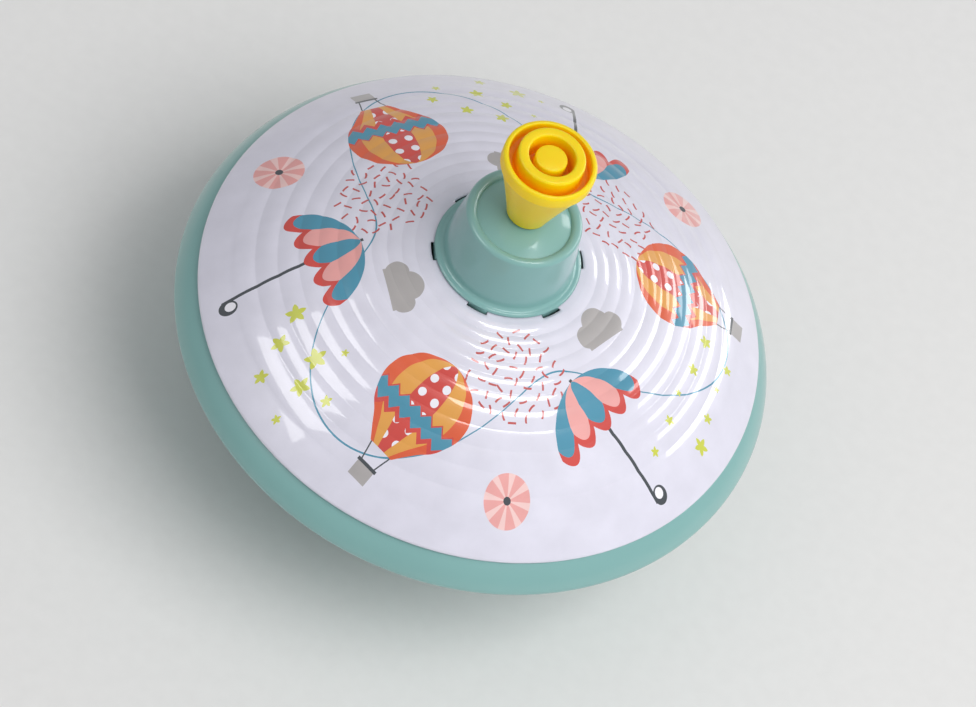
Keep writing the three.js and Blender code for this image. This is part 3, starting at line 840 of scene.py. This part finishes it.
def stars(tree, place):
    """Five-pointed stars of several sizes, in patches near the rim."""
    half_point = math.pi / STAR_POINTS
    middle, within, first, second = scattered(tree, place, STAR_SPACING)
    apart, bearing = polar(tree, within)
    turned_star = add(tree, "Math", {0: second, 1: 6.0, 2: bearing}, operation="MULTIPLY_ADD")
    to_point = add(tree, "Math", {0: turned_star, 1: half_point}, operation="PINGPONG")
    in_from_point = {"Value": to_point, 1: 0.0, 2: half_point, 3: 1.0, 4: STAR_WAIST}
    edge = add(tree, "MapRange", in_from_point)
    smallest, largest = STAR_SIZES
    size = add(tree, "MapRange", {"Value": first, "To Min": smallest, "To Max": largest})
    reach = add(tree, "Math", {0: edge, 1: size}, operation="MULTIPLY")
    drawn = add(tree, "Math", {0: apart, 1: reach}, operation="LESS_THAN")
    chosen = patch(tree, middle, middle_radius=48.0, reach=12.0, first_bearing=112.0, edge=0.45)
    return add(tree, "Math", {0: drawn, 1: chosen}, operation="MULTIPLY")


def wandering_line(tree, radius, bearing):
    """A line 0.34 mm wide that sways 12 mm in and out of a ring of 39 mm, three times round."""
    swing = add(tree, "Math", {0: bearing, 1: 3.0, 2: 0.9}, operation="MULTIPLY_ADD")
    sway = add(tree, "Math", {0: swing}, operation="SINE")
    wander = add(tree, "Math", {0: sway, 1: 12.0, 2: 39.0}, operation="MULTIPLY_ADD")
    return add(tree, "Math", {0: radius, 1: wander, 2: 0.17}, operation="COMPARE")


# %% [markdown]
# The layers, from the tin up. The lacquer clouds a little over 33 mm, and the inks vary a little
# in strength every 6 mm, as they do on tin. The place is turned back into the first third of the
# dome before the large motifs are drawn, so that each is described once and shows three times.


# %% Print and varnish the dome
def threefold(tree, flat, bearing):
    """The place turned back into the first third of the dome."""
    thirds = add(tree, "Math", {0: bearing, 1: 3 / math.tau}, operation="MULTIPLY")
    third = add(tree, "Math", {0: thirds}, operation="FLOOR")
    turns_back = {0: third, 1: -math.tau / 3, 2: -math.tau / 6}
    back = add(tree, "Math", turns_back, operation="MULTIPLY_ADD")
    return add(tree, "VectorRotate", {"Vector": flat, "Angle": back}, rotation_type="Z_AXIS")


def printed_tin():
    """Lacquer, inks and varnish."""
    material, tree, shader = new_material("printed_tin_varnished")
    metres = add(tree, "TexCoord", give="Object")
    millimetres = add(tree, "VectorMath", {0: metres, 3: 1 / MM}, operation="SCALE")
    x, y, _ = add(tree, "SeparateXYZ", {"Vector": millimetres}, None)
    flat = add(tree, "CombineXYZ", {0: x, 1: y})
    radius, bearing = polar(tree, flat)
    sector = threefold(tree, flat, bearing)

    clouding = add(tree, "TexNoise", {"Vector": metres, "Scale": 0.03 / MM, "Detail": 3.0})
    tones = {0: clouding, 6: linear("e3e1ee"), 7: linear("dddbe8")}
    lacquer = add(tree, "Mix", tones, 2, data_type="RGBA")
    small_shapes = [
        (wandering_line(tree, radius, bearing), INK["teal"]),
        (sprinkles(tree, flat), INK["brick"]),
        (stars(tree, flat), INK["lime"]),
    ]
    layers = overprint(tree, lacquer, small_shapes)
    layers = sliced_disc(tree, layers, own_frame(tree, sector, 50.0, -6.0))
    layers = cloud(tree, layers, own_frame(tree, sector, 24.5, 45.0, 10))
    layers = balloon(tree, layers, own_frame(tree, sector, 41.0, -36.0, 14))
    layers = parasol(tree, layers, own_frame(tree, sector, 40.0, 25.0, -18))

    strength = add(tree, "TexNoise", {"Vector": metres, "Scale": 0.16 / MM, "Detail": 4.0})
    shade = add(tree, "MapRange", {"Value": strength, "To Min": 0.9, "To Max": 1.1})
    finish = {
        "Base Color": add(tree, "VectorMath", {0: layers, 3: shade}, operation="SCALE"),
        "Roughness": 0.32,
        "Coat Weight": 1.0,
        "Coat Roughness": 0.05,
    }
    fill(shader, finish)
    return material


dress(dome_printed, printed_tin())

# %% [markdown]
# ## Bodies
#
# Each fine piece takes the place of its solid and moves with the same body. A piece that rode on
# nothing would stay behind when a joint moves.

# %% Say what each piece stands for and what it moves with
for piece, node, body, slot in (
    (dome_printed, "upper_shell", "tin_body", "printed_tin"),
    (bowl_painted, "lower_shell", "tin_body", "mint_paint"),
    (collar_cap, "collar", "tin_body", "mint_paint"),
    (collar_tabs, "collar", "tin_body", "mint_paint"),
    (peg_moulded, "foot_peg", "tin_body", "yellow_plastic"),
    (pin_turned, "tip_pin", "tin_body", "bare_steel"),
    (knob_moulded, "knob", "spindle", "yellow_plastic"),
    (strip_twisted, "twisted_rod", "spindle", "bare_steel"),
    (strip_head, "twisted_rod", "spindle", "bare_steel"),
):
    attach(piece, body)
    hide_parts(node)
    print(piece.name, "stands for", node, "and moves with", body)

# %% [markdown]
# ## Floor, light and camera
#
# A plain pale floor and a soft studio. Three long windows of light, above, on the right and on
# the left, are seen only as reflections: they draw the bright arcs on the ripples, and the wide
# one on the left draws the broad bands there. A small one at the rear gives the soft spot on the
# collar's crown. A broad key light gives the soft shading and isn't mirrored, and the sky is a
# little darker on the left, as a wall there would make it. The camera stands where the rim's
# ellipse in the photograph puts it.

# %% Lay the floor
FLOOR_HALF = 8  # metres, so that its edge doesn't show in low views


def floor():
    """A sheet of pale studio paper, its fibres 3.3 mm apart."""
    mesh_data = bmesh.new()
    bmesh.ops.create_grid(mesh_data, x_segments=1, y_segments=1, size=FLOOR_HALF)
    slab = as_piece("studio_floor", mesh_data)
    material, tree, shader = new_material("studio_paper_pale")
    place = add(tree, "TexCoord", give="Object")
    fibres = add(tree, "TexNoise", {"Vector": place, "Scale": 0.3 / MM, "Detail": 3.0})
    tones = {0: fibres, 6: linear("e9e8e6"), 7: linear("e3e2e0")}
    paper = add(tree, "Mix", tones, 2, data_type="RGBA")
    fill(shader, {"Base Color": paper, "Roughness": 0.9})
    dress(slab, material)


floor()

# %% Hang the lights
AIM = Vector((0, 0, 0.05))  # the middle of the top
WINDOWS = {  # start, end, width and power
    "ceiling_strip": ((0.03, 0.06, 1.04), (0.34, 0.19, 0.985), 0.18, 1.8),
    "right_window": ((0.72, 0.27, 0.63), (0.53, 0.85, 0.08), 0.11, 1.9),
    "left_window": ((-0.7, -0.05, 0.72), (-0.44, -0.5, 0.77), 0.26, 1.8),
    "rear_window": ((0.5, 0.7, 0.53), (0.4, 0.83, 0.42), 0.14, 0.5),
}


def soft_light(name, start, end, width, power):
    """A soft light from start to end, in metres above the floor's middle, that faces the top."""
    start, end = Vector(start), Vector(end)
    middle = (start + end) / 2
    along = (end - start).normalized()
    across = (middle - AIM).normalized().cross(along).normalized()
    data = bpy.data.lights.new(name, "AREA")
    data.shape = "RECTANGLE"
    data.size, data.size_y = (end - start).length, width
    data.energy = power
    lamp = bpy.data.objects.new(name, data)
    lamp.location = middle
    lamp.rotation_euler = Matrix((along, across, along.cross(across))).transposed().to_euler()
    bpy.context.scene.collection.objects.link(lamp)
    print(name, round(data.size, 2), "by", width, "m,", power, "W")
    return lamp


for name, settings in WINDOWS.items():
    window = soft_light(name, *settings)
    window.visible_diffuse = False
    window.visible_camera = False
key = soft_light("soft_key", (0.3, -0.6, 0.95), (0.9, 0.2, 0.95), 0.8, 8.5)
key.visible_glossy = False

world = bpy.data.worlds.new("studio")
world.use_nodes = True
sky = world.node_tree
direction = add(sky, "TexCoord", give="Generated")
from_left = add(sky, "SeparateXYZ", {"Vector": direction})
darker_left = {"Value": from_left, "From Min": -1.0, "To Min": 0.48, "To Max": 0.6}
brightness = add(sky, "MapRange", darker_left)
fill(sky.nodes["Background"], {"Color": linear("f2f3f6"), "Strength": brightness})
bpy.context.scene.world = world

# %% Set the camera
CAMERA_PLACE = (0, -0.59823, 0.85334)
CAMERA_TURN = (33.3489, -14.3471, 20.17)  # degrees about X, Y and Z

camera_data = bpy.data.cameras.new("camera")
camera_data.lens = 180.4
camera_data.sensor_width = 36
camera_data.clip_start = 0.05
camera_data.clip_end = 20
camera = bpy.data.objects.new("camera", camera_data)
camera.location = CAMERA_PLACE
camera.rotation_euler = Euler([math.radians(angle) for angle in CAMERA_TURN], "XYZ")
bpy.context.scene.collection.objects.link(camera)
bpy.context.scene.camera = camera
bpy.context.scene.view_settings.view_transform = "Standard"
print("camera", round(camera.location.length, 2), "m from the tip, lens", camera_data.lens, "mm")

# %% Update the scene and finish
bpy.context.view_layer.update()
